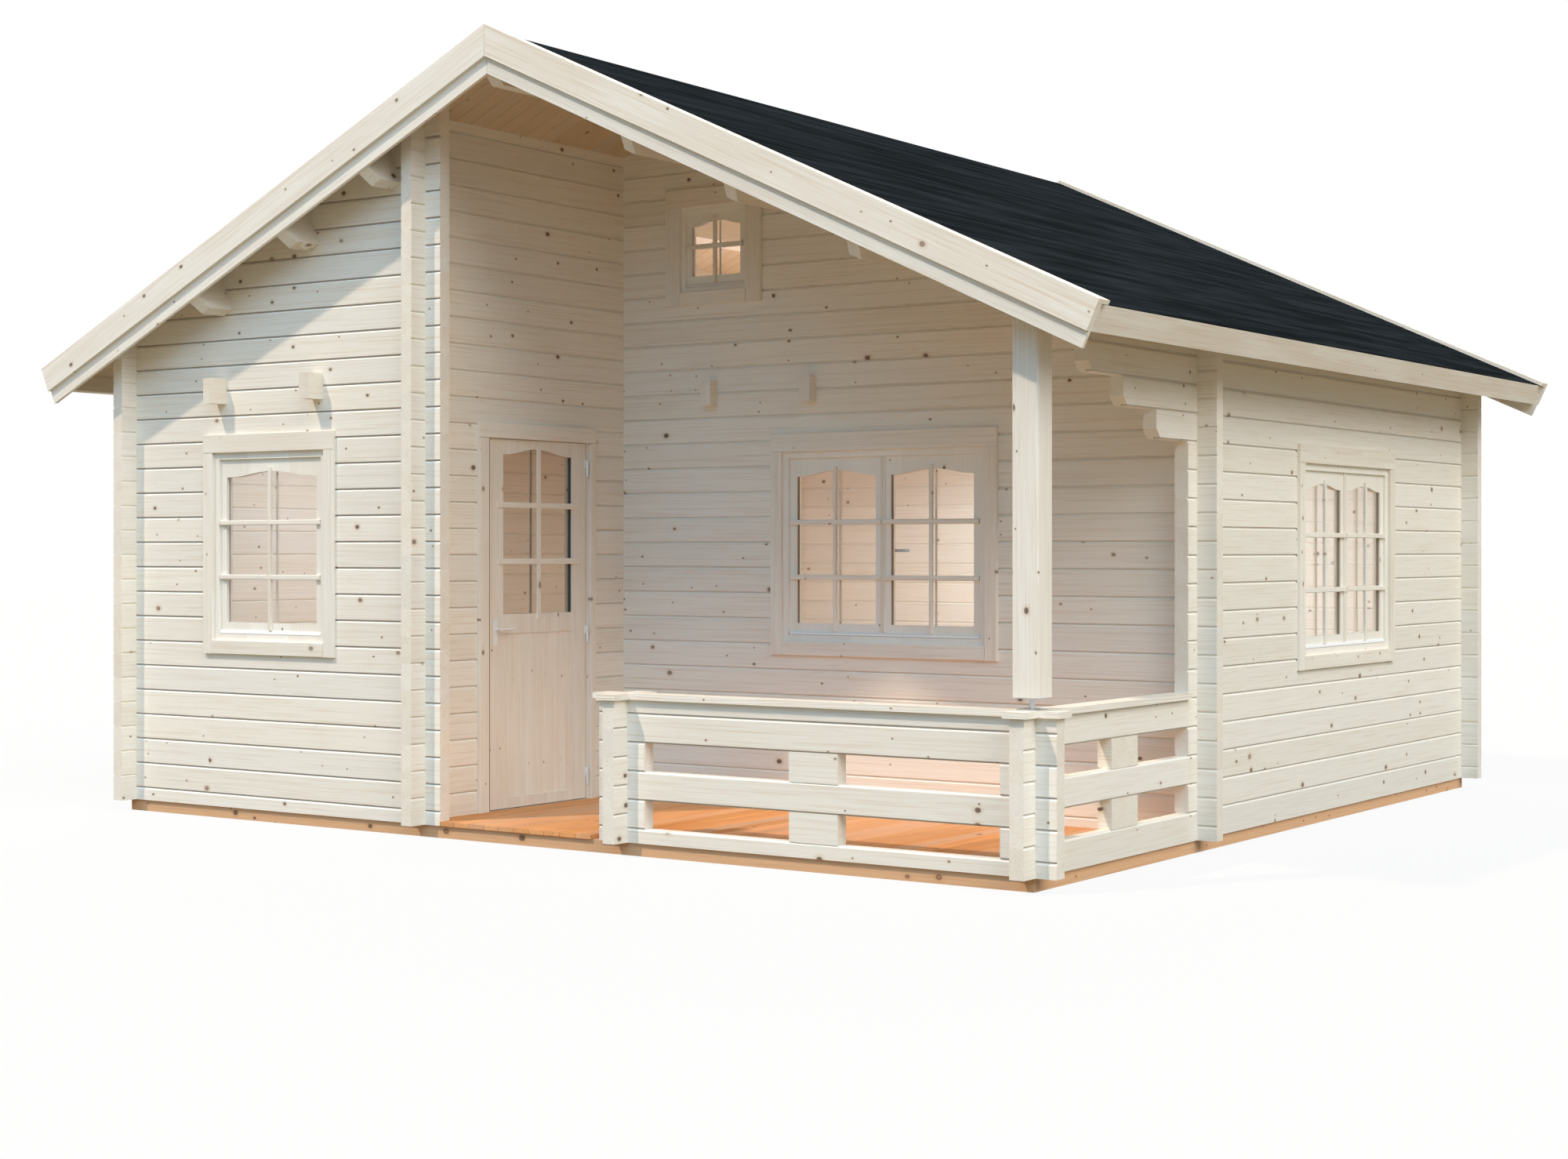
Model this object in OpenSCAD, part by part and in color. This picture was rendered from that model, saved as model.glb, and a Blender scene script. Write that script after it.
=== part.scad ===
// Holiday cottage: notched log walls, a railed corner porch and a felted gable roof

/* [Plan] */
// Width over the log walls, left to right
house_w = 5700; // [5200:50:6600]
// Depth over the log walls, front to back
house_d = 5440; // [4800:40:6600]
// Width of the front room beside the porch, over its logs
front_room_w = 2235; // [1900:5:2500]
// Depth of the porch, front log face to its back wall
porch_d = 1600; // [1550:10:1900]
// Length of the front railing, right log face to its end post
rail_l = 2175; // [1600:5:2500]

/* [Logs] */
// Thickness of a log
log_t = 70; // [50:1:95]
// Height of a log course
course_h = 135; // [120:1:150]
// Length of the log ends that pass a corner
stub_l = 100; // [60:5:150]
// Bevel along the edges of each log
groove = 8; // [3:0.5:10]
// Number of full courses in the side walls
side_courses = 18; // [17:1:20]
// Height of the eave plate at its outer face
plate_edge_h = 101; // [80:1:160]

/* [Base and floors] */
// Height of the base beams
base_h = 62; // [40:1:150]
// Width of the base beams
base_w = 95; // [80:1:140]
// Distance that the log face stands out over the base beams
base_inset = 15; // [0:1:30]
// Number of floor bearers across the house
bearer_count = 9; // [5:2:13]
// Thickness of the floor boards
floor_t = 22; // [18:1:40]

/* [Loft] */
// Course of the side walls that the loft joists lie in
joist_course = 16; // [15:1:16]
// Spacing of the joists that reach past the front room
joist_pitch = 645; // [500:5:800]
// Length of the joist ends outside the front and back walls
joist_end = 100; // [40:5:150]
// Length of the joist ends outside the porch wall
porch_joist_end = 65; // [30:5:150]

/* [Roof] */
// Roof pitch in degrees
pitch = 24.75; // [20:0.25:30]
// Overhang of the barge boards past the front and back walls
verge = 250; // [200:10:400]
// Overhang of the eave fascia past the side walls, level
eave = 400; // [250:10:500]
// Thickness of the roof boards
roof_board_t = 20; // [16:1:30]
// Thickness of the roofing felt
felt_t = 5; // [3:1:10]
// Thickness of the barge, fascia and casing boards
trim_t = 20; // [15:1:28]
// Width of the outer barge boards
barge_w = 118; // [90:1:160]
// Width of the inner barge boards that show below the outer ones
under_barge_w = 192; // [165:1:215]
// Width of the verge caps
verge_cap_w = 98; // [60:1:140]
// Width of the eave fascia boards
fascia_w = 118; // [80:1:160]
// Length of the barge boards past the eave fascia, along the slope
barge_tail = 18; // [0:1:40]

/* [Purlins] */
// Width of the purlins
purlin_w = 70; // [50:1:100]
// Depth of the purlins
purlin_h = 230; // [180:5:260]
// Level distance from the ridge to the upper purlins
upper_purlin_x = 905; // [700:5:1000]
// Level distance from the ridge to the middle purlins
middle_purlin_x = 1490; // [1300:5:1600]
// Level distance from the ridge to the lower purlins
lower_purlin_x = 2145; // [1950:5:2250]
// Size of the bevel under the purlin ends
purlin_bevel = 60; // [20:5:100]

/* [Porch] */
// Length that each corbel log reaches past the one below it
corbel_step = 340; // [200:10:340]
// Size of the bevel under the corbel ends
corbel_bevel = 45; // [15:1:60]
// Side of the square porch post
post_w = 128; // [90:2:150]
// Length of the steel foot under the post
post_foot_h = 55; // [30:1:120]
// Thickness of the railing caps
rail_cap_t = 28; // [18:1:45]
// Width of the railing caps
rail_cap_w = 116; // [90:1:150]
// Length of the spacer blocks between the rails
spacer_l = 260; // [120:5:400]
// Length of the corner log ends inside the side railing
side_rail_end = 187; // [100:1:300]

/* [Windows] */
// Width of the front window inside its casing
front_window_w = 836; // [600:2:900]
// Width of the double windows inside their casing
double_window_w = 1238; // [1000:2:1300]
// Width of the gable window inside its casing
gable_window_w = 440; // [360:2:520]
// Centre of the gable window, right of the ridge
gable_window_x = 10; // [-40:2:40]
// Centre of the side window, back from the front log face
side_window_y = 3505; // [3200:5:3800]
// Width of the side casing boards
casing_w = 70; // [50:1:100]
// Width of the head casing boards
casing_head_w = 98; // [70:1:120]
// Width of the sill casing boards
casing_sill_w = 73; // [50:1:100]
// Width of the sash stiles
sash_w = 45; // [35:1:60]
// Height of the sash foot rails
sash_foot_w = 61; // [40:1:80]
// Height of the sash head rails over the middle of the arch
sash_head_w = 68; // [40:1:80]
// Depth of the sashes
sash_t = 44; // [30:1:50]
// Rise of the arched sash heads
arch_rise = 29; // [10:1:40]
// Width of the gable window's side casing boards
gable_casing_w = 98; // [60:1:110]
// Width of the gable window's stiles
gable_sash_w = 32; // [25:1:50]
// Thickness of the panes
pane_t = 8; // [4:1:24]

/* [Door] */
// Width of the door leaf
door_w = 796; // [700:2:860]
// Height of the door leaf
door_h = 1930; // [1850:5:1940]
// Thickness of the door leaf
door_t = 54; // [40:1:56]
// Distance from the front log face to the latch edge of the leaf
door_y = 471; // [460:1:500]
// Gap around the door leaf
door_gap = 5; // [5:0.5:8]
// Width of the door jambs
jamb_w = 40; // [30:1:46]
// Width of the stiles and rails of the leaf
door_stile_w = 118; // [90:1:130]
// Height of the head rail of the leaf over the middle of its arch
door_head_rail_h = 46; // [40:1:110]
// Rise of the arched door light
door_arch_rise = 33; // [10:1:45]
// Height of the middle rail above the leaf's foot
door_mid_rail_z = 914; // [850:1:1000]
// Height of the lever handles above the leaf's foot
handle_z = 938; // [900:1:1050]

/* [Hidden] */
$fn = 48;

// Plan lines: outer and inner log faces
left_x = -house_w / 2;
right_x = house_w / 2;
front_y = -house_d / 2;
back_y = house_d / 2;
hall_x = left_x + front_room_w;
porch_y = front_y + porch_d;
left_in = left_x + log_t;
right_in = right_x - log_t;
front_in = front_y + log_t;
back_in = back_y - log_t;
hall_in = hall_x - log_t;
porch_in = porch_y + log_t;
rail_x = right_x - rail_l;

// Levels
floor_z = base_h + floor_t;
plate_z = course_z(side_courses);
tan_p = tan(pitch);
cos_p = cos(pitch);
sin_p = sin(pitch);
ridge_z = plate_z + plate_edge_h + house_w / 2 * tan_p;
function course_z(k) = base_h + k * course_h;
wall_lines = ceil((ridge_z - base_h) / course_h);
rail_courses = 5;
rail_top = course_z(rail_courses);
over = 2;

// Roof: level underside at x, and a point at slope distance u and height w above the underside
function under(x) = ridge_z - abs(x) * tan_p;
function slope(u, w) = [u * cos_p + w * sin_p, ridge_z - u * sin_p + w * cos_p];
felt_top = roof_board_t + felt_t;
roof_l = (house_w / 2 + eave) / cos_p - felt_top * tan_p - trim_t;
purlin_xs = [upper_purlin_x, middle_purlin_x, lower_purlin_x];
roof_y = front_y - verge + 2 * trim_t;
ridge_joint = 1;
seat = 0.3;

// Loft joists: two between the left wall and the hall wall, two past it
joist_z = course_z(joist_course);
joist_top = joist_z + course_h;
hall_mid = hall_x - log_t / 2;
room_pitch = (hall_mid - left_x - log_t / 2) / 3;
room_joists = [for (i = [1, 2]) hall_mid - i * room_pitch];
hall_joists = [for (i = [1, 2]) hall_mid + i * joist_pitch];

// Windows: courses that each cut-out spans, and where the opening lies in it
window_course = 6;
window_courses = 8;
gable_course = 20;
gable_courses = 4;
sill_rise = 17.5;
head_drop = 59.5;
front_window_x = (left_x + hall_x) / 2;
porch_window_x = (hall_x + right_in) / 2;
x_course_z = base_h + course_h / 2;
front_window_z = x_course_z + window_course * course_h;
side_window_z = course_z(window_course);
gable_window_z = x_course_z + gable_course * course_h;
tall_h = window_courses * course_h;
gable_h = gable_courses * course_h;
frame_show = 35;
gable_frame_show = 25;
gable_head_w = 50;
casing_joint = 1;
cut_side = 40;

// Door: leaf corners, cut-out and hinge axis
leaf_y0 = front_y + door_y;
leaf_y1 = leaf_y0 + door_w;
leaf_z0 = floor_z + door_gap;
leaf_z1 = leaf_z0 + door_h;
door_courses = ceil((leaf_z1 + door_gap + jamb_w - base_h) / course_h);
door_head_z = course_z(door_courses);
cut_y0 = leaf_y0 - door_gap - jamb_w;
cut_y1 = leaf_y1 + door_gap + jamb_w;
stop_w = 15;
hinge_r = 6;
hinge_out = 9;
hinge_x = hall_x + hinge_out;
hinge_y = leaf_y1 + door_gap / 2;
hinge_half = 45;
hinge_foot = 77;
hinge_head = 179;
hinge_middle = 0.44;
hinge_zs = [leaf_z0 + hinge_foot, leaf_z0 + hinge_middle * door_h, leaf_z1 - hinge_head];
hinge_seat = 0.3;
hinge_tab = 16;
hinge_plate = 4;

log_color = [0.90, 0.88, 0.82];
trim_color = [0.93, 0.92, 0.88];
base_color = [0.76, 0.57, 0.38];
deck_color = [0.86, 0.55, 0.33];
roof_color = [0.60, 0.50, 0.38];
felt_color = [0.16, 0.18, 0.19];
steel_color = [0.62, 0.63, 0.64];
glass_color = [0.70, 0.76, 0.78, 0.5];

// A drawing of x and z carried along y, or of y and z carried along x
module along_y(y0, y1) {
    translate([0, y1, 0]) rotate([90, 0, 0]) linear_extrude(y1 - y0) children();
}
module along_x(x0, x1) {
    translate([x0, 0, 0]) rotate([90, 0, 90]) linear_extrude(x1 - x0) children();
}
module along_z(z0, z1) {
    translate([0, 0, z0]) linear_extrude(z1 - z0) children();
}
module rect(a0, a1, b0, b1) {
    translate([a0, b0]) square([a1 - a0, b1 - b0]);
}
module both_sides() {
    children();
    mirror([1, 0, 0]) children();
}

// Cross-section of stacked logs with a bevelled groove at every course line
module log_stack(s0, first_z, top0, top1) {
    low = base_h - over;
    lines = [for (k = [0:wall_lines]) first_z + k * course_h];
    below = min(top0, top1) - groove;
    shown = [for (z = lines) if (z > base_h + groove && z < below) z];
    n = len(shown);
    rise = [for (z = shown) each [[s0, z - groove], [s0 + groove, z], [s0, z + groove]]];
    s1 = s0 + log_t;
    fall = [for (i = [n - 1:-1:0]) let (z = shown[i])
        each [[s1, z + groove], [s1 - groove, z], [s1, z - groove]]];
    polygon(concat([[s0, low]], rise, [[s0, top0], [s1, top1]], fall, [[s1, low]]));
}

// Half-height notches where the crossing logs pass, for walls along x and along y
module x_notches(x, courses) {
    for (k = [0:courses - 1])
        rect(x, x + log_t, base_h + (k + 0.25) * course_h, base_h + (k + 0.75) * course_h);
}
module y_notches(y, courses) {
    for (k = [0:courses])
        rect(y, y + log_t, base_h + (k - 0.25) * course_h, base_h + (k + 0.25) * course_h);
}

// A log wall along x or along y, from its elevation
module x_wall(x0, x1, y) {
    intersection() {
        along_y(y - over, y + log_t + over) children();
        along_x(x0 - over, x1 + over)
            log_stack(y, x_course_z, ridge_z + over, ridge_z + over);
    }
}
module y_wall(y0, y1, x, top0, top1) {
    intersection() {
        along_x(x - over, x + log_t + over) children();
        along_y(y0 - over, y1 + over) log_stack(x, base_h, top0, top1);
    }
}

// Elevation of a wall under the roof slopes
module gable(x0, x1) {
    peak = x0 < 0 && x1 > 0 ? [[0, ridge_z]] : [];
    polygon(concat([[x0, base_h], [x1, base_h], [x1, under(x1)]], peak, [[x0, under(x0)]]));
}
module purlin_holes() {
    half = purlin_w / 2 + seat;
    low = -purlin_h - seat;
    for (x = purlin_xs)
        let (u = x / cos_p)
            polygon([
                slope(u - half, over), slope(u + half, over),
                slope(u + half, low), slope(u - half, low)
            ]);
}
module ridge_hole() {
    rect(-purlin_w / 2, purlin_w / 2, ridge_z - purlin_h, ridge_z + over);
}
module joist_holes(xs) {
    for (x = xs) rect(x - log_t / 2, x + log_t / 2, joist_z, joist_top);
}
module plate_hole(x) {
    rect(x, x + log_t, plate_z, ridge_z);
}
module window_hole(s, z, w, h) {
    rect(s - w / 2 - cut_side, s + w / 2 + cut_side, z, z + h);
}

module front_wall() {
    x0 = left_x - stub_l;
    x1 = hall_x + stub_l;
    color(log_color)
        x_wall(x0, x1, front_y)
            difference() {
                gable(x0, x1);
                x_notches(left_x, side_courses);
                plate_hole(left_x);
                x_notches(hall_in, wall_lines);
                joist_holes(room_joists);
                mirror([1, 0]) purlin_holes();
                window_hole(front_window_x, front_window_z, front_window_w, tall_h);
            }
}

module back_wall() {
    x0 = left_x - stub_l;
    x1 = right_x + stub_l;
    color(log_color)
        x_wall(x0, x1, back_in)
            difference() {
                gable(x0, x1);
                x_notches(left_x, side_courses);
                plate_hole(left_x);
                x_notches(right_in, side_courses);
                plate_hole(right_in);
                joist_holes(concat(room_joists, [hall_mid], hall_joists));
                ridge_hole();
                purlin_holes();
                mirror([1, 0]) purlin_holes();
            }
}

module porch_back_wall() {
    x0 = hall_in - stub_l;
    x1 = right_x + stub_l;
    color(log_color)
        x_wall(x0, x1, porch_y)
            difference() {
                gable(x0, x1);
                x_notches(hall_in, wall_lines);
                x_notches(right_in, side_courses);
                plate_hole(right_in);
                joist_holes(hall_joists);
                ridge_hole();
                purlin_holes();
                mirror([1, 0]) purlin_holes();
                window_hole(porch_window_x, front_window_z, double_window_w, tall_h);
                window_hole(gable_window_x, gable_window_z, gable_window_w, gable_h);
            }
}

module left_wall() {
    y0 = front_y - stub_l;
    y1 = back_y + stub_l;
    color(log_color)
        y_wall(y0, y1, left_x, plate_z, plate_z)
            difference() {
                rect(y0, y1, base_h, plate_z + over);
                y_notches(front_y, side_courses);
                y_notches(back_in, side_courses);
            }
}

// The top courses of the right wall reach forward over the porch in steps
corbels = 4;
module corbel(k) {
    z = course_z(side_courses - corbels + k);
    y = porch_y - stub_l - (k + 1) * corbel_step;
    polygon([
        [y + corbel_bevel, z], [porch_y, z], [porch_y, z + course_h],
        [y, z + course_h], [y, z + corbel_bevel]
    ]);
}
module right_wall() {
    y0 = porch_y - stub_l;
    y1 = back_y + stub_l;
    color(log_color)
        y_wall(front_y, y1, right_in, plate_z, plate_z)
            difference() {
                union() {
                    rect(y0, y1, base_h, plate_z);
                    for (k = [0:corbels - 1]) corbel(k);
                }
                y_notches(porch_y, side_courses);
                y_notches(back_in, side_courses);
                window_hole(front_y + side_window_y, side_window_z, double_window_w, tall_h);
            }
}

// Wall between the front room and the porch, split beside and over its doorway
module hall_wall(y0, y1, z0, z1) {
    color(log_color)
        y_wall(y0, y1, hall_in, under(hall_in), under(hall_x))
            difference() {
                rect(y0, y1, z0, z1);
                y_notches(front_y, wall_lines);
                y_notches(porch_y, wall_lines);
            }
}
module entrance_wall_beside_door() {
    hall_wall(front_y - stub_l, cut_y0, base_h, door_head_z);
    hall_wall(cut_y1, porch_in + stub_l, base_h, door_head_z);
}
module entrance_wall_over_door() {
    hall_wall(front_y - stub_l, porch_in + stub_l, door_head_z, ridge_z);
}

// Base beams and floors
module base_side_beams() {
    x = right_x - base_inset;
    color(base_color)
        both_sides()
            along_y(front_y + base_inset, back_y - base_inset) rect(x - base_w, x, 0, base_h);
}
beam_end_x = right_x - base_inset - base_w;
beam_ys = [front_y + base_inset, porch_y + (log_t - base_w) / 2, back_y - base_inset - base_w];
module base_cross_beams() {
    color(base_color)
        for (y = beam_ys) along_y(y, y + base_w) rect(-beam_end_x, beam_end_x, 0, base_h);
}
module floor_bearers() {
    step = 2 * beam_end_x / (bearer_count + 1);
    color(base_color)
        for (bay = [0, 1], i = [1:bearer_count])
            let (x = i * step - beam_end_x)
                along_y(beam_ys[bay] + base_w, beam_ys[bay + 1])
                    rect(x - base_w / 4, x + base_w / 4, 0, base_h);
}
module hall_stubs() {
    rect(hall_in - stub_l, hall_in, porch_y, porch_in);
    rect(hall_in, hall_x, porch_in, porch_in + stub_l);
}
module room_floor() {
    color(deck_color)
        along_z(base_h, floor_z)
            difference() {
                union() {
                    rect(left_in, right_in, porch_in, back_in);
                    rect(left_in, hall_in, front_in, porch_in);
                }
                hall_stubs();
            }
}
module porch_deck() {
    color(deck_color)
        along_z(base_h, floor_z)
            difference() {
                union() {
                    rect(hall_x, right_in, front_in, porch_y);
                    rect(hall_x + stub_l, rail_x - log_t - stub_l, front_y, front_in);
                }
                rect(rail_x - log_t, rail_x, front_in, front_in + stub_l);
            }
}

// Loft
module loft_joists() {
    color(log_color) {
        for (x = room_joists) joist(x, front_y - joist_end);
        joist(hall_mid, porch_in + stub_l);
        for (x = hall_joists) joist(x, porch_y - porch_joist_end);
    }
}
module joist(x, y0) {
    along_y(y0, back_y + joist_end) rect(x - log_t / 2, x + log_t / 2, joist_z, joist_top);
}
module loft_floor_main() {
    color(deck_color)
        along_z(joist_top, joist_top + floor_t)
            difference() {
                rect(left_in, hall_joists[1] + log_t / 2, porch_in, back_in);
                hall_stubs();
            }
}
module loft_floor_front() {
    color(deck_color)
        along_z(joist_top, joist_top + floor_t)
            difference() {
                rect(left_in, hall_in, front_in, porch_in);
                hall_stubs();
            }
}

// Porch railing: logs with open courses between them, on crossed log ends
front_gap_courses = [0.5, 2.5];
side_gap_courses = [1, 3];
module front_rail() {
    x0 = rail_x - log_t - stub_l;
    x1 = right_x + stub_l;
    color(log_color)
        x_wall(x0, x1, front_y)
            difference() {
                rect(x0, x1, base_h, rail_top);
                for (k = front_gap_courses)
                    rect(rail_x + stub_l, right_in - stub_l, course_z(k), course_z(k + 1));
                x_notches(rail_x - log_t, rail_courses);
                x_notches(right_in, rail_courses);
            }
}
module side_rail() {
    y0 = front_y - stub_l;
    y1 = porch_y - stub_l;
    color(log_color)
        y_wall(y0, y1, right_in, rail_top, rail_top)
            difference() {
                rect(y0, y1, base_h, rail_top + over);
                for (k = side_gap_courses)
                    rect(front_in + side_rail_end, y1 + over, course_z(k), course_z(k + 1));
                y_notches(front_y, rail_courses);
            }
}
module rail_end_post() {
    y0 = front_y - stub_l;
    y1 = front_in + stub_l;
    color(log_color)
        y_wall(y0, y1, rail_x - log_t, rail_top, rail_top)
            difference() {
                rect(y0, y1, base_h, rail_top + over);
                y_notches(front_y, rail_courses);
            }
}
module rail_spacers() {
    x = (rail_x + right_in) / 2;
    y = (front_in + porch_y) / 2;
    color(log_color) {
        for (k = front_gap_courses)
            translate([x - spacer_l / 2, front_y, course_z(k)]) cube([spacer_l, log_t, course_h]);
        for (k = side_gap_courses)
            translate([right_in, y - spacer_l / 2, course_z(k)]) cube([log_t, spacer_l, course_h]);
    }
}
cap_out = (rail_cap_w - log_t) / 2;
cap_end = stub_l + cap_out;
module front_rail_cap() {
    color(trim_color)
        along_z(rail_top, rail_top + rail_cap_t) {
            rect(rail_x - log_t - cap_end, right_x + cap_end, front_y - cap_out, front_in + cap_out);
            rect(rail_x - log_t - cap_out, rail_x + cap_out, front_y - cap_end, front_in + cap_end);
            rect(right_in - cap_out, right_x + cap_out, front_y - cap_end, front_in);
        }
}
module side_rail_cap() {
    color(trim_color)
        along_z(rail_top, rail_top + rail_cap_t)
            rect(right_in - cap_out, right_x + cap_out, front_in + cap_out, porch_y - stub_l);
}
post_x = right_x - log_t / 2;
post_y = front_y + log_t / 2;
module post_foot() {
    plate_back = 15;
    plate_w = post_w - 2 * plate_back;
    plate_t = 6;
    rod_r = 11;
    z = rail_top + rail_cap_t;
    color(steel_color)
        translate([post_x, post_y, z]) {
            for (h = [0, post_foot_h - plate_t])
                translate([-plate_w / 2, -plate_w / 2, h]) cube([plate_w, plate_w, plate_t]);
            cylinder(r = rod_r, h = post_foot_h);
        }
}
module porch_post() {
    z = rail_top + rail_cap_t + post_foot_h;
    half = post_w / 2;
    bevel = 8;
    color(trim_color)
        translate([post_x, post_y, z])
            linear_extrude(plate_z - z)
                polygon([
                    for (i = [0:3])
                        let (c = cos(i * 90), s = sin(i * 90))
                            for (p = [[half, -half + bevel], [half, half - bevel]])
                                [p.x * c - p.y * s, p.x * s + p.y * c]
                ]);
}

// Roof timbers: elevation of a timber with bevelled lower ends, over its own height
module timber_side(z0, z1) {
    y = -roof_y;
    polygon([
        [-y + purlin_bevel, z0], [y - purlin_bevel, z0], [y, z0 + purlin_bevel],
        [y, z1], [-y, z1], [-y, z0 + purlin_bevel]
    ]);
}
module eave_plates() {
    top_in = under(right_in);
    color(log_color)
        both_sides()
            intersection() {
                along_x(right_in - over, right_x + over) timber_side(plate_z, top_in + over);
                along_y(roof_y - over, over - roof_y)
                    polygon([
                        [right_in, plate_z - over], [right_x, plate_z - over],
                        [right_x, under(right_x)], [right_in, top_in]
                    ]);
            }
}
module ridge_purlin() {
    half = purlin_w / 2;
    low = ridge_z - purlin_h;
    color(log_color)
        intersection() {
            along_x(-half - over, half + over) timber_side(low, ridge_z + over);
            along_y(roof_y - over, over - roof_y)
                polygon([
                    [-half, low - over], [half, low - over], [half, under(half)],
                    [0, ridge_z], [-half, under(half)]
                ]);
        }
}
module purlin(x) {
    foot = slope(x / cos_p, 0);
    translate([foot.x, 0, foot.y])
        rotate([0, pitch, 0])
            along_x(-purlin_w / 2, purlin_w / 2) timber_side(-purlin_h, -seat);
}
module purlins() {
    color(log_color)
        both_sides()
            for (x = purlin_xs) purlin(x);
}

// A layer of the right-hand slope between two heights above the underside, cut plumb at the ridge
module roof_layer(w0, w1, u1, joint) {
    r0 = (joint - w0 * sin_p) / cos_p;
    r1 = (joint - w1 * sin_p) / cos_p;
    polygon([slope(r0, w0), slope(u1, w0), slope(u1, w1), slope(r1, w1)]);
}
module right_roof_boards() {
    color(roof_color) along_y(roof_y, -roof_y) roof_layer(0, roof_board_t, roof_l, 0);
}
module left_roof_boards() {
    mirror([1, 0, 0]) right_roof_boards();
}
module right_roof_felt() {
    color(felt_color)
        along_y(roof_y, -roof_y) roof_layer(roof_board_t, felt_top, roof_l + trim_t, 0);
}
module left_roof_felt() {
    mirror([1, 0, 0]) right_roof_felt();
}
module eave_fascias() {
    fascia_top = roof_board_t - seat;
    color(trim_color)
        both_sides()
            along_y(roof_y, -roof_y)
                polygon([
                    slope(roof_l + seat, fascia_top), slope(roof_l + trim_t, fascia_top),
                    slope(roof_l + trim_t, fascia_top - fascia_w), slope(roof_l + seat, fascia_top - fascia_w)
                ]);
}
barge_l = roof_l + trim_t + barge_tail;
module both_gables() {
    both_sides() children();
    mirror([0, 1, 0]) both_sides() children();
}
module barge(y0, width) {
    along_y(y0, y0 + trim_t) roof_layer(felt_top - width, felt_top, barge_l, ridge_joint);
}
module under_barge_boards() {
    color(trim_color) both_gables() barge(roof_y - trim_t, under_barge_w);
}
module barge_boards() {
    color(trim_color) both_gables() barge(roof_y - 2 * trim_t, barge_w);
}
module verge_caps() {
    y0 = roof_y - 2 * trim_t;
    color(trim_color)
        both_gables()
            along_y(y0, y0 + verge_cap_w)
                roof_layer(felt_top + seat, felt_top + trim_t, barge_l, ridge_joint);
}

// Windows, drawn in x and z about the foot of the cut-out
module on_front(x, y, z) {
    translate([x, y, z]) children();
}
module on_right(x, y, z) {
    translate([x, y, z]) rotate([0, 0, 90]) children();
}
module at_front_window() {
    on_front(front_window_x, front_y, front_window_z) children();
}
module at_porch_window() {
    on_front(porch_window_x, porch_y, front_window_z) children();
}
module at_gable_window() {
    on_front(gable_window_x, porch_y, gable_window_z) children();
}
module at_side_window() {
    on_right(right_x, front_y + side_window_y, side_window_z) children();
}
module casing(w, h, board_w) {
    z0 = sill_rise;
    z1 = h - head_drop;
    side = w / 2 + board_w;
    along_y(-trim_t, 0) {
        rect(-side, side, z1, z1 + casing_head_w);
        rect(-side, side, z0 - casing_sill_w, z0);
        both_sides_2d() rect(w / 2, side, z0 + casing_joint, z1 - casing_joint);
    }
}
module both_sides_2d() {
    children();
    mirror([1, 0]) children();
}
module window_casings() {
    color(trim_color) {
        at_front_window() casing(front_window_w, tall_h, casing_w);
        at_porch_window() casing(double_window_w, tall_h, casing_w);
        at_side_window() casing(double_window_w, tall_h, casing_w);
        at_gable_window() casing(gable_window_w, gable_h, gable_casing_w);
    }
}
function light_w(w, show) = w - 2 * show;
function light_z(show) = sill_rise + show;
function light_h(h, show) = h - sill_rise - head_drop - 2 * show;
module window_frame(w, h, show) {
    half = w / 2 + cut_side;
    along_y(0, log_t)
        difference() {
            rect(-half, half, 0, h);
            translate([-light_w(w, show) / 2, light_z(show)]) square([light_w(w, show), light_h(h, show)]);
        }
}
module window_frames() {
    color(trim_color) {
        at_front_window() window_frame(front_window_w, tall_h, frame_show);
        at_porch_window() window_frame(double_window_w, tall_h, frame_show);
        at_side_window() window_frame(double_window_w, tall_h, frame_show);
        at_gable_window() window_frame(gable_window_w, gable_h, gable_frame_show);
    }
}

// Outline of a light whose head rises in a reversed curve from both edges to the middle
module arch(w, h, rise) {
    mid = rise / 2;
    r = (w * w / 16 + mid * mid) / (2 * mid);
    difference() {
        translate([-w / 2, 0]) square([w, h - mid]);
        both_sides_2d() translate([w / 2, h - rise + r]) circle(r, $fn = 360);
    }
    intersection() {
        translate([-w / 4, h - rise]) square([w / 2, rise]);
        translate([0, h - r]) circle(r, $fn = 360);
    }
}
sash_y = 15;
sash_joint = 2;
module sash_light(w, h, stile, head) {
    translate([0, sash_foot_w]) arch(w - 2 * stile, h - sash_foot_w - head, arch_rise);
}
module sash(w, h, stile, head) {
    along_y(sash_y, sash_y + sash_t)
        difference() {
            translate([-w / 2, 0]) square([w, h]);
            sash_light(w, h, stile, head);
        }
}
module pane(w, h, stile, head) {
    y = sash_y + (sash_t - pane_t) / 2;
    along_y(y, y + pane_t) sash_light(w, h, stile, head);
}
tall_light_h = light_h(tall_h, frame_show);
double_sash_w = (light_w(double_window_w, frame_show) - sash_joint) / 2;
module in_pair() {
    for (side = [-1, 1]) translate([side * (double_sash_w + sash_joint) / 2, 0, 0]) children();
}
module in_frame(show) {
    translate([0, 0, light_z(show)]) children();
}
module window_sashes() {
    color(trim_color) {
        at_front_window()
            in_frame(frame_show) sash(light_w(front_window_w, frame_show), tall_light_h, sash_w, sash_head_w);
        at_porch_window()
            in_frame(frame_show) in_pair() sash(double_sash_w, tall_light_h, sash_w, sash_head_w);
        at_side_window()
            in_frame(frame_show) in_pair() sash(double_sash_w, tall_light_h, sash_w, sash_head_w);
        at_gable_window()
            in_frame(gable_frame_show)
                sash(
                    light_w(gable_window_w, gable_frame_show), light_h(gable_h, gable_frame_show),
                    gable_sash_w, gable_head_w
                );
    }
}
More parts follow.
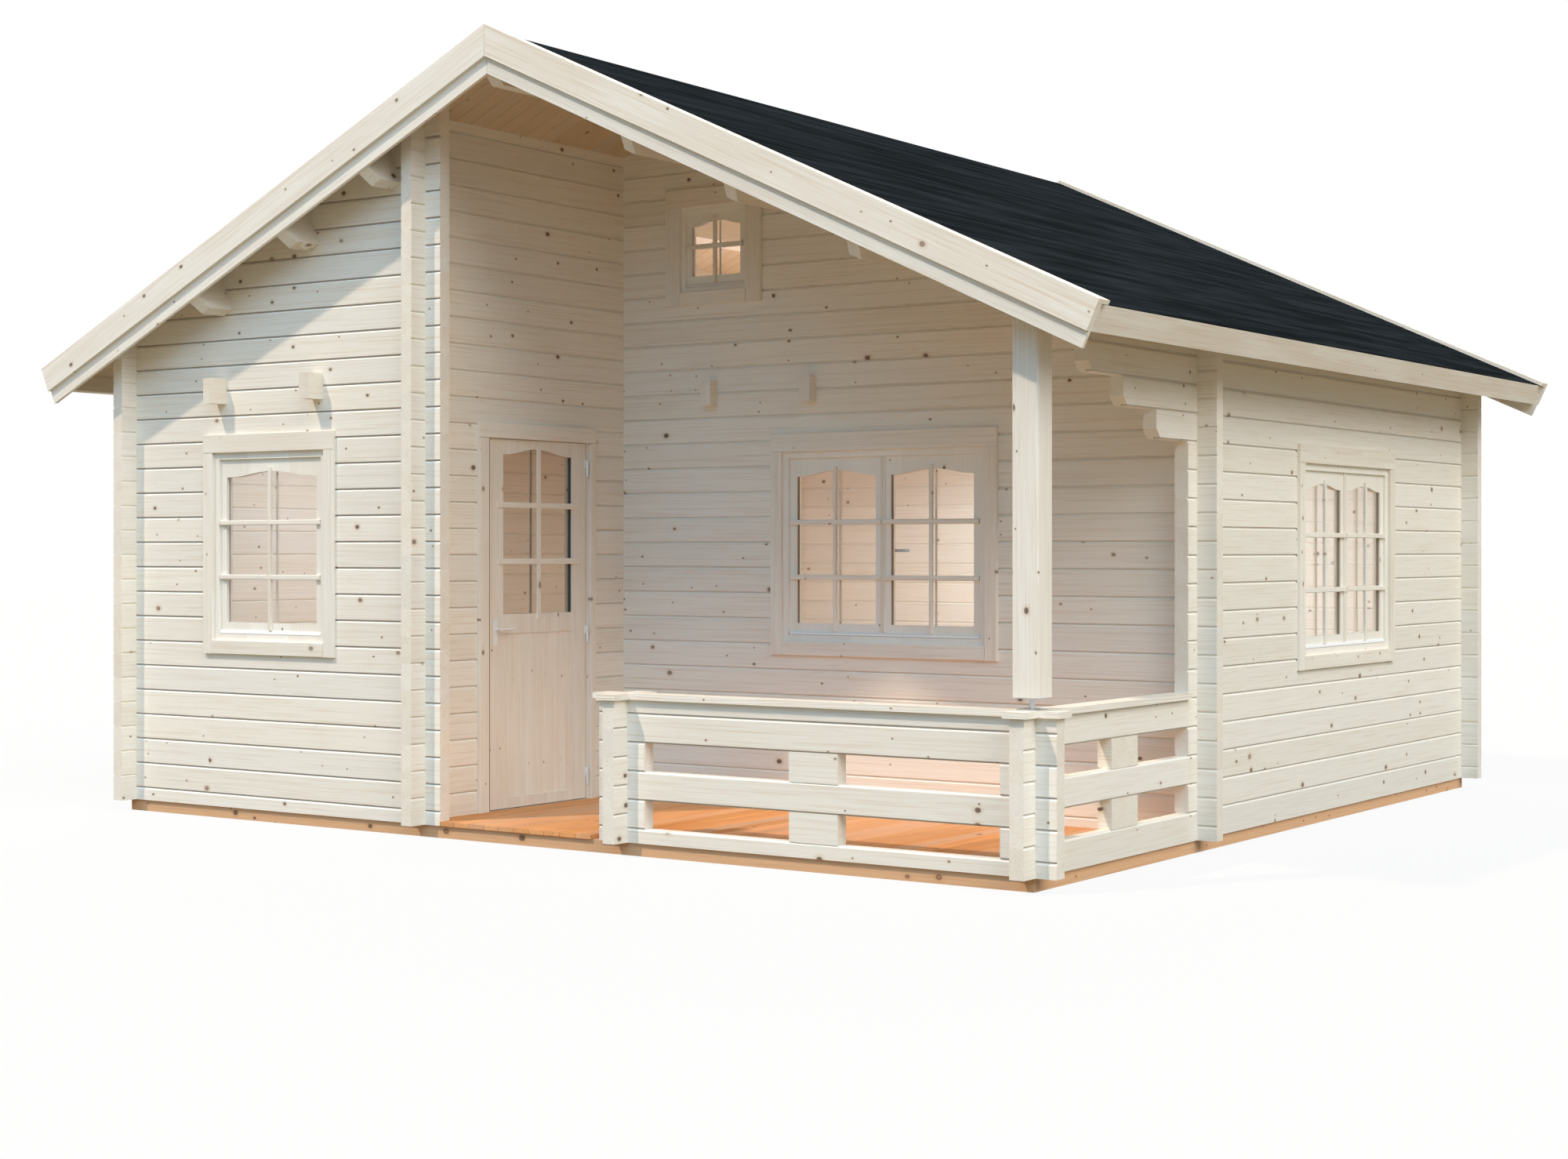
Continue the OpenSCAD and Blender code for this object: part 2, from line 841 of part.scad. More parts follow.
module window_panes() {
    color(glass_color) {
        at_front_window()
            in_frame(frame_show) pane(light_w(front_window_w, frame_show), tall_light_h, sash_w, sash_head_w);
        at_porch_window()
            in_frame(frame_show) in_pair() pane(double_sash_w, tall_light_h, sash_w, sash_head_w);
        at_side_window()
            in_frame(frame_show) in_pair() pane(double_sash_w, tall_light_h, sash_w, sash_head_w);
        at_gable_window()
            in_frame(gable_frame_show)
                pane(
                    light_w(gable_window_w, gable_frame_show), light_h(gable_h, gable_frame_show),
                    gable_sash_w, gable_head_w
                );
    }
}

// Door: casing, rebated frame, leaf with an arched pane, lift-off hinges and lever handles
latch_casing_w = 75;
hinge_casing_w = 45;
door_head_casing_w = 80;
casing_back = 5;
module door_casing() {
    z1 = leaf_z1 + door_gap + casing_back;
    y0 = leaf_y0 - door_gap - casing_back;
    y1 = leaf_y1 + door_gap + hinge_tab + casing_joint;
    color(trim_color)
        along_x(hall_x, hall_x + trim_t) {
            rect(y0 - latch_casing_w, y0, floor_z, z1 - casing_joint);
            rect(y1, y1 + hinge_casing_w, floor_z, z1 - casing_joint);
            rect(y0 - latch_casing_w, y1 + hinge_casing_w, z1, z1 + door_head_casing_w);
        }
}
module door_frame() {
    y0 = leaf_y0 - door_gap;
    y1 = leaf_y1 + door_gap;
    z1 = leaf_z1 + door_gap;
    color(trim_color)
        difference() {
            along_x(hall_in, hall_x) rect(cut_y0, cut_y1, base_h, door_head_z);
            along_x(hall_x - door_t - door_gap, hall_x + over) rect(y0, y1, floor_z, z1);
            along_x(hall_in - over, hall_x)
                rect(y0 + stop_w, y1 - stop_w, floor_z, z1 - stop_w);
        }
}
door_light_w = door_w - 2 * door_stile_w;
door_mid_rail_h = 101;
door_foot_rail_h = 56;
door_light_z = door_mid_rail_z + door_mid_rail_h;
door_light_h = door_h - door_light_z - door_head_rail_h;
panel_sink = 10;
module at_leaf() {
    translate([hall_x, (leaf_y0 + leaf_y1) / 2, leaf_z0]) rotate([0, 0, 90]) children();
}
module door_panel_recess(y0, y1) {
    along_y(y0, y1) rect(-door_light_w / 2, door_light_w / 2, door_foot_rail_h, door_mid_rail_z);
}
module door_light() {
    translate([0, door_light_z]) arch(door_light_w, door_light_h, door_arch_rise);
}
module door_leaf() {
    color(trim_color)
        at_leaf()
            difference() {
                along_y(0, door_t) rect(-door_w / 2, door_w / 2, 0, door_h);
                along_y(-over, door_t + over) door_light();
                door_panel_recess(-over, panel_sink);
                door_panel_recess(door_t - panel_sink, door_t + over);
            }
}
module door_pane() {
    y = (door_t - pane_t) / 2;
    color(glass_color)
        at_leaf()
            along_y(y, y + pane_t) door_light();
}
module hinge_halves(z_offset, side) {
    color(steel_color)
        for (z = hinge_zs)
            translate([hinge_x, hinge_y, z + z_offset]) {
                cylinder(r = hinge_r, h = hinge_half);
                translate([-hinge_out, side > 0 ? 0 : -hinge_tab, 0])
                    cube([hinge_plate, hinge_tab, hinge_half]);
            }
}
module door_frame_hinges() {
    hinge_halves(0, 1);
}
module door_leaf_hinges() {
    hinge_halves(hinge_half + hinge_seat, -1);
}
module lever() {
    plate_h = 140;
    plate_below = 85;
    plate_w = 28;
    plate_t = 5;
    neck_r = 8;
    neck_l = 45;
    lever_l = 105;
    translate([-plate_w / 2, -plate_t, -plate_below]) cube([plate_w, plate_t, plate_h]);
    rotate([90, 0, 0]) cylinder(r = neck_r, h = neck_l);
    translate([0, -neck_l + neck_r, 0]) rotate([0, 90, 0]) cylinder(r = neck_r, h = lever_l);
}
handle_in = 56;
module door_handles() {
    color(steel_color)
        at_leaf()
            translate([-door_w / 2 + handle_in, 0, handle_z]) {
                lever();
                translate([0, door_t, 0]) mirror([0, 1, 0]) lever();
            }
}

base_side_beams();
base_cross_beams();
floor_bearers();
room_floor();
porch_deck();
front_wall();
left_wall();
right_wall();
back_wall();
porch_back_wall();
entrance_wall_beside_door();
entrance_wall_over_door();
loft_joists();
loft_floor_main();
loft_floor_front();
front_rail();
side_rail();
rail_end_post();
rail_spacers();
front_rail_cap();
side_rail_cap();
porch_post();
post_foot();
eave_plates();
ridge_purlin();
purlins();
left_roof_boards();
right_roof_boards();
left_roof_felt();
right_roof_felt();
eave_fascias();
under_barge_boards();
barge_boards();
verge_caps();
window_casings();
window_frames();
window_sashes();
window_panes();
door_casing();
door_frame();
door_frame_hinges();
door_leaf();
door_pane();
door_leaf_hinges();
door_handles();
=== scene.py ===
import math

import bmesh
import bpy
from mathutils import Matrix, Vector


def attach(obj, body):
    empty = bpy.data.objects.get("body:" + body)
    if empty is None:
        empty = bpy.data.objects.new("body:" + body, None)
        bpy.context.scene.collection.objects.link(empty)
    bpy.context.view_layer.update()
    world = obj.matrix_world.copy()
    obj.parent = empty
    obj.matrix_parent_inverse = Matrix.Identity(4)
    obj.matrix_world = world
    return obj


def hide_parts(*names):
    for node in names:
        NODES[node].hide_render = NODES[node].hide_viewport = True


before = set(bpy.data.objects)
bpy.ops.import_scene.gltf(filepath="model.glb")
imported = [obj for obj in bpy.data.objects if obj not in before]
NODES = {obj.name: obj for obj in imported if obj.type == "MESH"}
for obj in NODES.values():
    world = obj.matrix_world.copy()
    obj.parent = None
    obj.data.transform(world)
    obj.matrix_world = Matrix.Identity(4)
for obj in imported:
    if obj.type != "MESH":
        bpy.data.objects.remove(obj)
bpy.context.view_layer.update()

# Sizes of the cottage, in metres
LOG_T = 0.070
HALF_LOG = LOG_T / 2
COURSE = 0.135
GROOVE = 0.008
STUB_L = 0.100
BASE_H = 0.062
FLOOR_Z = 0.084
LEFT_X, RIGHT_X = -2.850, 2.850
FRONT_Y, BACK_Y = -2.720, 2.720
HALL_X, PORCH_Y, RAIL_X = -0.615, -1.120, 0.675
TRIM_T = 0.020
FIRST_LINE = {"x": BASE_H + COURSE / 2, "y": BASE_H}

# Roof: wall top at the eaves, rise from there to the boards, overhang, gable edge, board and felt thickness
PITCH = math.radians(24.75)
WALL_TOP = 2.492
EAVE_RISE = 0.101
EAVE_OUT = 0.400
ROOF_Y = -2.930
ROOF_T = 0.020
FELT_TOP = 0.025
RIDGE_Z = WALL_TOP + EAVE_RISE + RIGHT_X * math.tan(PITCH)
ROOF_L = (RIGHT_X + EAVE_OUT) / math.cos(PITCH) - FELT_TOP * math.tan(PITCH) - TRIM_T


def linear(r, g, b):
    """Linear colour of an sRGB colour given as 0 to 255."""
    def one(v):
        v /= 255
        return v / 12.92 if v <= 0.04045 else ((v + 0.055) / 1.055) ** 2.4
    return (one(r), one(g), one(b), 1.0)


def darker(color, share):
    """A colour brought down to a share of itself."""
    return tuple(share * v for v in color[:3]) + (1.0,)


PALE = linear(243, 239, 229)
STREAK = linear(212, 187, 157)
# Colour of the painted highlight on the logs' up-facing bevels
PAINTED_HIGHLIGHT = linear(255, 254, 248)
KNOT = linear(92, 64, 46)
TRIM_PALE = linear(246, 243, 234)
BASE_PALE = linear(226, 178, 130)
BASE_STREAK = linear(204, 146, 96)
DECK_PALE = linear(234, 178, 128)
DECK_STREAK = linear(184, 110, 64)
ROOF_PALE = linear(214, 194, 166)
ROOF_STREAK = linear(188, 160, 124)
WHITE = (1.0, 1.0, 1.0, 1.0)


class Graph:
    """The node tree of a material or world under construction, with short calls for its nodes."""

    def __init__(self, owner):
        self.owner = owner
        owner.use_nodes = True
        self.tree = owner.node_tree
        self.tree.nodes.clear()

    def link(self, value, socket):
        if isinstance(value, bpy.types.NodeSocket):
            self.tree.links.new(value, socket)
        elif value is not None:
            socket.default_value = value

    def node(self, kind, values=None, **props):
        made = self.tree.nodes.new(kind)
        for key, value in props.items():
            setattr(made, key, value)
        for key, value in (values or {}).items():
            self.link(value, made.inputs[key])
        return made

    def math(self, operation, a, b=None, c=None):
        made = self.node("ShaderNodeMath", operation=operation)
        for i, value in enumerate((a, b, c)):
            self.link(value, made.inputs[i])
        return made.outputs[0]

    def add(self, a, b):
        return self.math("ADD", a, b)

    def sub(self, a, b):
        return self.math("SUBTRACT", a, b)

    def mul(self, a, b):
        return self.math("MULTIPLY", a, b)

    def div(self, a, b):
        return self.math("DIVIDE", a, b)

    def size(self, a, b):
        """Length of a vector with two parts."""
        return self.math("SQRT", self.add(self.mul(a, a), self.mul(b, b)))

    def ramp(self, value, low, high, to_low=0.0, to_high=1.0):
        """value from low to high, carried smoothly to to_low and to_high."""
        made = self.node("ShaderNodeMapRange", interpolation_type="SMOOTHSTEP")
        for i, item in enumerate((value, low, high, to_low, to_high)):
            self.link(item, made.inputs[i])
        return made.outputs[0]

    def mix(self, share, a, b):
        made = self.node("ShaderNodeMix", data_type="RGBA")
        self.link(share, made.inputs["Factor"])
        colors = [s for s in made.inputs if s.type == "RGBA"]
        self.link(a, colors[0])
        self.link(b, colors[1])
        return [s for s in made.outputs if s.type == "RGBA"][0]

    def xyz(self, vector):
        return self.node("ShaderNodeSeparateXYZ", {0: vector}).outputs

    def vec(self, x, y, z):
        return self.node("ShaderNodeCombineXYZ", {0: x, 1: y, 2: z}).outputs[0]

    def noise(self, vector, scale=1.0, detail=2.0, rough=0.5, w=None):
        made = self.node("ShaderNodeTexNoise", noise_dimensions="4D" if w is not None else "3D")
        self.link(vector, made.inputs["Vector"])
        if w is not None:
            self.link(w, made.inputs["W"])
        made.inputs["Scale"].default_value = scale
        made.inputs["Detail"].default_value = detail
        made.inputs["Roughness"].default_value = rough
        return made.outputs["Fac"]

    def place(self):
        return self.xyz(self.node("ShaderNodeTexCoord").outputs["Object"])

    def finish(self, color, rough, bump, strength, depth, **sockets):
        shader = self.node("ShaderNodeBsdfPrincipled")
        self.link(color, shader.inputs["Base Color"])
        self.link(rough, shader.inputs["Roughness"])
        for key, value in sockets.items():
            shader.inputs[key.replace("_", " ")].default_value = value
        made = self.node("ShaderNodeBump", {"Height": bump})
        made.inputs["Strength"].default_value = strength
        made.inputs["Distance"].default_value = depth
        self.link(made.outputs[0], shader.inputs["Normal"])
        self.node("ShaderNodeOutputMaterial", {"Surface": shader.outputs[0]})
        return self.owner


def new_graph(name):
    return Graph(bpy.data.materials.new(name))


# Grain. Each function gives the place along, across and up a board, the board's number, the place over the
# face, a share that is 1 on long faces, and the joint's painted shade and painted highlight where there is one.
SQUARE_ON = 0.6
END_ON = 0.7
BEVEL_TILT = (0.5, 0.65, 0.85, 0.95)
JOINT_FADE = 0.002


def face_shares(g):
    """How squarely a face looks along x, y and z of its own body, each from 0 to 1."""
    normal = g.xyz(g.node("ShaderNodeTexCoord").outputs["Normal"])
    return [g.math("ABSOLUTE", part) for part in normal]


def pick(g, share, low, high):
    """high on faces that look squarely along an axis, low elsewhere."""
    return g.add(low, g.mul(g.math("GREATER_THAN", share, SQUARE_ON), g.sub(high, low)))


def log_grain(g, axis, seed, shade, outside):
    """Grain of logs stacked along x or y, with painted shade and a painted highlight on their joint bevels
    outside.
    """
    x, y, z = g.place()
    level = g.div(g.sub(z, FIRST_LINE[axis]), COURSE)
    course = g.math("FLOOR", level)
    up = g.mul(g.sub(g.sub(level, course), 0.5), COURSE)
    nx, ny, slant = face_shares(g)
    along, across, end, side = (x, y, nx, ny) if axis == "x" else (y, x, ny, nx)
    steep, tilted, gentle, flat = BEVEL_TILT
    bevel = g.mul(g.ramp(slant, steep, tilted), g.ramp(slant, flat, gentle))
    if outside is not None:
        operation, limit = outside
        bevel = g.mul(bevel, g.math(operation, across, limit))
    # Each log's lower bevel, which faces down, gets painted shade (foot). Its upper bevel, which faces up, gets
    # a painted highlight. Both are scaled per wall by how much light the wall gets.
    edge = COURSE / 2 - GROOVE
    foot = g.mul(g.mul(bevel, g.ramp(up, JOINT_FADE - edge, -edge)), shade)
    painted_highlight_share = g.mul(g.mul(bevel, g.ramp(up, edge - JOINT_FADE, edge)), shade)
    number = g.add(course, seed)
    long_face = g.math("LESS_THAN", end, END_ON)
    return along, across, up, number, pick(g, side, across, up), long_face, (foot, painted_highlight_share)


def beam_grain(axis, pitch, seed):
    """Grain of single timbers along an axis, told apart by where they stand at a pitch."""
    order = {"x": (0, 1, 2), "y": (1, 0, 2), "z": (2, 0, 1)}[axis]
    far_side = 40.03

    def grain(g):
        along, a, b = (g.place()[i] for i in order)
        end, side, _ = (face_shares(g)[i] for i in order)
        number = g.add(g.math("FLOOR", g.div(g.add(a, far_side), pitch)), seed)
        return along, a, b, number, pick(g, side, a, b), g.math("LESS_THAN", end, END_ON), None

    return grain


def slope_grain(seed):
    """Grain of boards that run up the roof slopes, with a number for each of the four."""
    def grain(g):
        x, y, z = g.place()
        flat = g.math("ABSOLUTE", x)
        along = g.sub(g.mul(flat, math.cos(PITCH)), g.mul(z, math.sin(PITCH)))
        over = g.add(g.mul(flat, math.sin(PITCH)), g.mul(z, math.cos(PITCH)))
        number = g.add(g.math("SIGN", x), g.mul(g.math("SIGN", y), 2.0))
        return along, y, over, g.add(number, seed), pick(g, face_shares(g)[1], y, over), 1.0, None

    return grain


def own_grain(g):
    """Grain that a piece carries in its own mesh: a vector and a number per board."""
    along, wide, deep = g.xyz(g.node("ShaderNodeAttribute", attribute_name="grain").outputs["Vector"])
    number = g.node("ShaderNodeAttribute", attribute_name="board").outputs["Fac"]
    return along, wide, deep, number, wide, 1.0, None


# Wood: pitch of the growth rings, width of their lines on a face, and where the pith lies and drifts
RING = 0.0036
LINE_W = 0.0052
LEAST_SLOPE = 0.05
PITH_SPREAD = (0.07, 0.09)
PITH_DRIFT = (0.030, 0.012)
RING_WOBBLE = 0.0016
KNOT_PUSH = 0.004
BOARD_SHIFT = 40.0

# Knots: cell in which one may lie, smallest radius and spread, drawn out along the grain, ragged edge
KNOT_CELL = (0.17, 0.065)
KNOT_SIZE = (0.0028, 0.0080)
KNOT_OVAL = 0.75
KNOT_RAG = 0.0022
ROW_SHIFT = 31.0

# Shares of the streak colour that rings, threads, fibres and patches bring
FIGURE, THREAD, FIBRE, PATCH = 0.90, 0.36, 0.20, 0.04
WOOD_ROUGH = 0.62


def stretch(g, spot, lengthwise, crosswise):
    """A place in the board, for noise drawn out along the grain."""
    along, across, up = spot
    return g.vec(g.mul(along, lengthwise), g.mul(up, crosswise), g.mul(across, crosswise))


def knot_marks(g, spot, side, long_face, chance, amount, sizes):
    """Knots on long faces: their core, rim, halo and push on the grain, and how pale the core is."""
    column = g.div(spot[0], KNOT_CELL[0])
    row = g.add(g.div(side, KNOT_CELL[1]), g.mul(chance[1], ROW_SHIFT))
    cell = g.node("ShaderNodeTexVoronoi", {"Vector": g.vec(column, row, 0.0)}, voronoi_dimensions="2D")
    cell.inputs["Scale"].default_value = 1.0
    at_column, at_row, _ = g.xyz(cell.outputs["Position"])
    draw, girth, paleness = g.xyz(cell.outputs["Color"])
    span_along = g.mul(g.sub(column, at_column), KNOT_OVAL * KNOT_CELL[0])
    span_side = g.mul(g.sub(row, at_row), KNOT_CELL[1])
    present = g.mul(g.math("LESS_THAN", draw, amount), long_face)
    radius = g.add(sizes[0], g.mul(g.mul(girth, g.mul(girth, girth)), sizes[1]))
    ragged = g.mul(g.sub(g.noise(g.vec(*spot), scale=320.0, detail=2.0), 0.5), KNOT_RAG)
    share = g.div(g.add(g.size(span_along, span_side), ragged), radius)
    core = g.mul(g.ramp(share, 1.15, 0.7), present)
    rim = g.mul(g.mul(g.ramp(share, 1.45, 1.0), g.ramp(share, 0.5, 0.95)), present)
    halo = g.mul(g.ramp(share, 3.2, 1.0), present)
    push = g.mul(g.ramp(share, 5.0, 0.6), present)
    return core, rim, halo, push, paleness


def ring_lines(g, spot, side, chance, push):
    """Growth rings about a drifting pith: share of late wood, and the slope at which rings meet the face."""
    _, across, up = spot
    slow = stretch(g, spot, 0.45, 0.5)
    drift_across = g.mul(g.sub(g.noise(slow, detail=1.0), 0.5), PITH_DRIFT[0])
    drift_up = g.mul(g.sub(g.noise(slow, scale=1.7, detail=1.0, w=4.3), 0.5), PITH_DRIFT[1])
    off_across = g.add(across, g.add(g.mul(g.sub(chance[2], 0.5), PITH_SPREAD[0]), drift_across))
    off_up = g.add(up, g.add(g.mul(g.sub(chance[1], 0.5), PITH_SPREAD[1]), drift_up))
    radius = g.size(off_across, off_up)
    wobble = g.sub(g.noise(stretch(g, spot, 1.6, 30.0), detail=3.0), 0.5)
    bent = g.add(g.add(radius, g.mul(wobble, RING_WOBBLE)), g.mul(push, KNOT_PUSH))
    phase = g.math("FRACT", g.div(bent, RING))
    on_side = g.math("COMPARE", side, up, 1e-5)
    over = g.add(off_across, g.mul(on_side, g.sub(off_up, off_across)))
    slope = g.math("MAXIMUM", g.math("ABSOLUTE", g.div(over, radius)), LEAST_SLOPE)
    late = g.ramp(g.sub(1.0, phase), g.mul(slope, LINE_W / RING), 0.0)
    return late, slope


def wood(name, grain, pale=PALE, streak=STREAK, contrast=1.0, knots=0.14, sizes=KNOT_SIZE, tone=0.035):
    """Solid timber: growth rings, fibres, knots with their halo, and a tone per board."""
    g = new_graph(name)
    along, across, up, number, side, long_face, joint = grain(g)
    chance = g.xyz(g.node("ShaderNodeTexWhiteNoise", {"W": number}, noise_dimensions="1D").outputs["Color"])
    spot = g.add(along, g.mul(chance[0], BOARD_SHIFT)), across, up
    core, rim, halo, push, paleness = knot_marks(g, spot, side, long_face, chance, knots, sizes)
    late, slope = ring_lines(g, spot, side, chance, push)
    fibre = g.noise(stretch(g, spot, 5.0, 420.0), detail=2.0, rough=0.6)
    thread = g.noise(stretch(g, spot, 1.8, 120.0), detail=3.0, rough=0.6)
    patch = g.noise(stretch(g, spot, 1.6, 10.0), detail=3.0)

    # The figure shows most in patches, on faces that cut the rings neither flat nor square
    figure = g.mul(g.ramp(patch, 0.36, 0.60, 0.25, 1.0), g.add(0.50, g.mul(chance[0], 0.50)))
    shown = g.mul(g.ramp(slope, 0.80, 0.45, 0.30, 1.0), g.ramp(slope, 0.06, 0.28, 0.12, 1.0))
    color = g.mix(g.mul(g.mul(late, g.mul(figure, shown)), FIGURE * contrast), pale, streak)
    color = g.mix(g.mul(g.ramp(thread, 0.46, 0.74), THREAD * contrast), color, streak)
    color = g.mix(g.mul(g.ramp(fibre, 0.45, 0.8), FIBRE * contrast), color, streak)
    color = g.mix(g.mul(g.ramp(patch, 0.52, 0.85), PATCH * contrast), color, streak)

    between = tuple(0.5 * (a + b) for a, b in zip(KNOT, streak))
    color = g.mix(g.mul(halo, 0.45), color, streak)
    color = g.mix(g.mul(core, 0.88), color, g.mix(g.ramp(paleness, 0.55, 0.95), KNOT, between))
    color = g.mix(g.mul(rim, 0.60), color, darker(KNOT, 0.5))
    # Painted shade on each joint's down-facing bevel, and a painted highlight on its up-facing bevel
    if joint is not None:
        foot, painted_highlight_share = joint
        color = g.mix(foot, color, darker(streak, 0.35))
        color = g.mix(painted_highlight_share, color, PAINTED_HIGHLIGHT)
    tint = g.node("ShaderNodeHueSaturation", {"Color": color})
    g.link(g.add(1.0 - tone, g.mul(chance[2], 2.0 * tone)), tint.inputs["Value"])
    g.link(g.add(0.85, g.mul(chance[0], 0.30)), tint.inputs["Saturation"])
    height = g.sub(g.add(g.mul(late, 0.5), g.mul(fibre, 0.6)), g.mul(rim, 1.2))
    rough = g.add(WOOD_ROUGH, g.mul(late, 0.06))
    return g.finish(tint.outputs["Color"], rough, height, strength=0.35, depth=0.0006)


def set_material(material, *nodes):
    for node in nodes:
        mesh = NODES[node].data
        mesh.materials.clear()
        mesh.materials.append(material)


# Log walls: axis, how strongly painted shade and highlight show in the joints (more on walls in sun, less on
# walls in shade), and the side of the middle plane that lies outside
LOG_WALLS = {
    "front_wall": ("x", 0.75, ("LESS_THAN", FRONT_Y + HALF_LOG)),
    "back_wall": ("x", 0.60, ("GREATER_THAN", BACK_Y - HALF_LOG)),
    "porch_back_wall": ("x", 0.20, None),
    "front_rail": ("x", 0.60, None),
    "left_wall": ("y", 0.60, ("LESS_THAN", LEFT_X + HALF_LOG)),
    "right_wall": ("y", 0.45, ("GREATER_THAN", RIGHT_X - HALF_LOG)),
    "entrance_wall_beside_door": ("y", 0.25, None),
    "entrance_wall_over_door": ("y", 0.15, None),
    "side_rail": ("y", 0.45, None),
    "rail_end_post": ("y", 0.55, None),
}
WALL_SEED = 100.0
for i, (node, (axis, shade, outside)) in enumerate(LOG_WALLS.items()):
    set_material(wood(f"logs_{node}", lambda g: log_grain(g, axis, WALL_SEED * i, shade, outside)), node)

# Timbers: a pitch wider than a timber keeps one number for all of it
TIMBER_PITCH = 0.31
RAIL_PITCH = 0.4
FASCIA_PITCH = 3.0
FLOOR_BOARD = 0.095
BARGE = dict(pale=TRIM_PALE, contrast=1.4, knots=0.13)
GROUND = dict(pale=BASE_PALE, streak=BASE_STREAK, contrast=1.5, knots=0.3, sizes=(0.004, 0.010))

set_material(wood("rail_spacer_wood", beam_grain("x", RAIL_PITCH, 7.0)), "rail_spacers")
set_material(
    wood("roof_timber_wood", beam_grain("y", TIMBER_PITCH, 13.0)),
    "loft_joists", "eave_plates", "ridge_purlin", "purlins")
set_material(wood("fascia_wood", beam_grain("y", FASCIA_PITCH, 21.0), TRIM_PALE, contrast=1.3), "eave_fascias")
set_material(wood("barge_wood", slope_grain(31.0), **BARGE), "barge_boards")
set_material(wood("under_barge_wood", slope_grain(41.0), **BARGE), "under_barge_boards")
set_material(wood("verge_cap_wood", slope_grain(51.0), **BARGE), "verge_caps")
set_material(
    wood("upright_wood", beam_grain("z", TIMBER_PITCH, 61.0), TRIM_PALE),
    "porch_post", "door_casing", "door_frame", "door_leaf", "window_casings")
set_material(
    wood("joinery_wood", beam_grain("z", TIMBER_PITCH, 66.0), TRIM_PALE, contrast=0.3, knots=0.04),
    "window_frames", "window_sashes")
set_material(wood("level_wood", beam_grain("x", RAIL_PITCH, 71.0), TRIM_PALE), "front_rail_cap")
set_material(wood("side_cap_wood", beam_grain("y", RAIL_PITCH, 81.0), TRIM_PALE), "side_rail_cap")
set_material(wood("base_wood", beam_grain("y", RAIL_PITCH, 91.0), **GROUND), "base_side_beams", "floor_bearers")
set_material(wood("cross_base_wood", beam_grain("x", RAIL_PITCH, 93.0), **GROUND), "base_cross_beams")
set_material(
    wood("floor_wood", beam_grain("y", FLOOR_BOARD, 95.0), DECK_PALE, DECK_STREAK),
    "room_floor", "porch_deck", "loft_floor_main", "loft_floor_front")
roof_wood = wood("roof_board_wood", own_grain, ROOF_PALE, ROOF_STREAK)
trim_wood = wood("trim_board_wood", own_grain, TRIM_PALE, knots=0.13)
door_wood = wood("door_wood", own_grain, TRIM_PALE, knots=0.10)
deck_wood = wood("deck_wood", own_grain, DECK_PALE, DECK_STREAK, contrast=1.5, knots=0.05, tone=0.12)


def felt(name):
    """Black roofing felt with grit, and streaks that run along the ridge."""
    g = new_graph(name)
    x, y, z = g.place()
    grit = g.noise(g.vec(x, y, z), scale=900.0, detail=1.0)
    streak = g.noise(g.vec(g.mul(x, 16.0), g.mul(y, 0.9), g.mul(z, 16.0)), detail=5.0, rough=0.65)
    cloud = g.noise(g.vec(x, y, z), scale=1.6, detail=3.0)
    color = g.mix(g.ramp(streak, 0.36, 0.66), linear(22, 26, 29), linear(40, 46, 50))
    color = g.mix(g.mul(g.ramp(cloud, 0.35, 0.7), 0.35), color, linear(22, 26, 28))
    color = g.mix(g.mul(g.ramp(grit, 0.55, 0.75), 0.35), color, linear(46, 51, 54))
    height = g.add(grit, g.mul(streak, 0.4))
    return g.finish(color, 0.95, height, strength=0.4, depth=0.001, Specular_IOR_Level=0.0)


def brushed_metal(name, low, high, across, upward, rough, strength, metallic):
    """Metal with fine level brush marks."""
    g = new_graph(name)
    x, y, z = g.place()
    brush = g.noise(g.vec(g.mul(x, across), g.mul(y, across), g.mul(z, upward)), detail=2.0)
    shine = g.ramp(brush, 0.0, 1.0, *rough)
    return g.finish(g.mix(brush, low, high), shine, brush, strength=strength, depth=0.0002, Metallic=metallic)


def glass(name, low, high):
    """Clear or tinted panes that are very slightly uneven."""
    g = new_graph(name)
    wave = g.noise(g.vec(*g.place()), scale=2.2, detail=1.0)
    color = g.mix(wave, low, high)
    return g.finish(color, 0.01, wave, strength=0.02, depth=0.001, Transmission_Weight=1.0, IOR=1.45)


def glazing_rubber(name, low, high):
    """Matt rubber, or a matt brown used as painted shade on strips."""
    g = new_graph(name)
    fine = g.noise(g.vec(*g.place()), scale=300.0, detail=2.0)
    return g.finish(g.mix(fine, low, high), g.ramp(fine, 0.2, 0.8, 0.55, 0.7), fine, strength=0.1, depth=0.0002)


steel = brushed_metal(
    "brushed_steel", linear(168, 170, 172), linear(198, 199, 200), 60.0, 1800.0, (0.28, 0.42), 0.1, 1.0)
satin = brushed_metal(
    "satin_aluminium", linear(238, 239, 238), linear(250, 250, 248), 40.0, 900.0, (0.38, 0.5), 0.08, 0.15)
rubber = glazing_rubber("glazing_rubber", linear(52, 50, 46), linear(74, 71, 66))
# A matt brown that stands in for shade: painted shade on the window glazing strips and on the door casing's
# lock-side strip
painted_shade_brown = glazing_rubber("brown_painted_shade", linear(134, 116, 98), linear(152, 134, 114))
set_material(felt("roofing_felt"), "left_roof_felt", "right_roof_felt")
set_material(steel, "post_foot")
set_material(satin, "door_frame_hinges", "door_leaf_hinges", "door_handles")
set_material(glass("clear_glass", (0.93, 0.95, 0.95, 1.0), (0.97, 0.98, 0.98, 1.0)), "window_panes")
set_material(glass("smoked_glass", (0.62, 0.60, 0.56, 1.0), (0.67, 0.65, 0.61, 1.0)), "door_pane")


def new_piece(name, bm, material, body):
    mesh = bpy.data.meshes.new(name)
    bm.to_mesh(mesh)
    bm.free()
    piece = bpy.data.objects.new(name, mesh)
    bpy.context.collection.objects.link(piece)
    mesh.materials.append(material)
    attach(piece, body)
    return piece


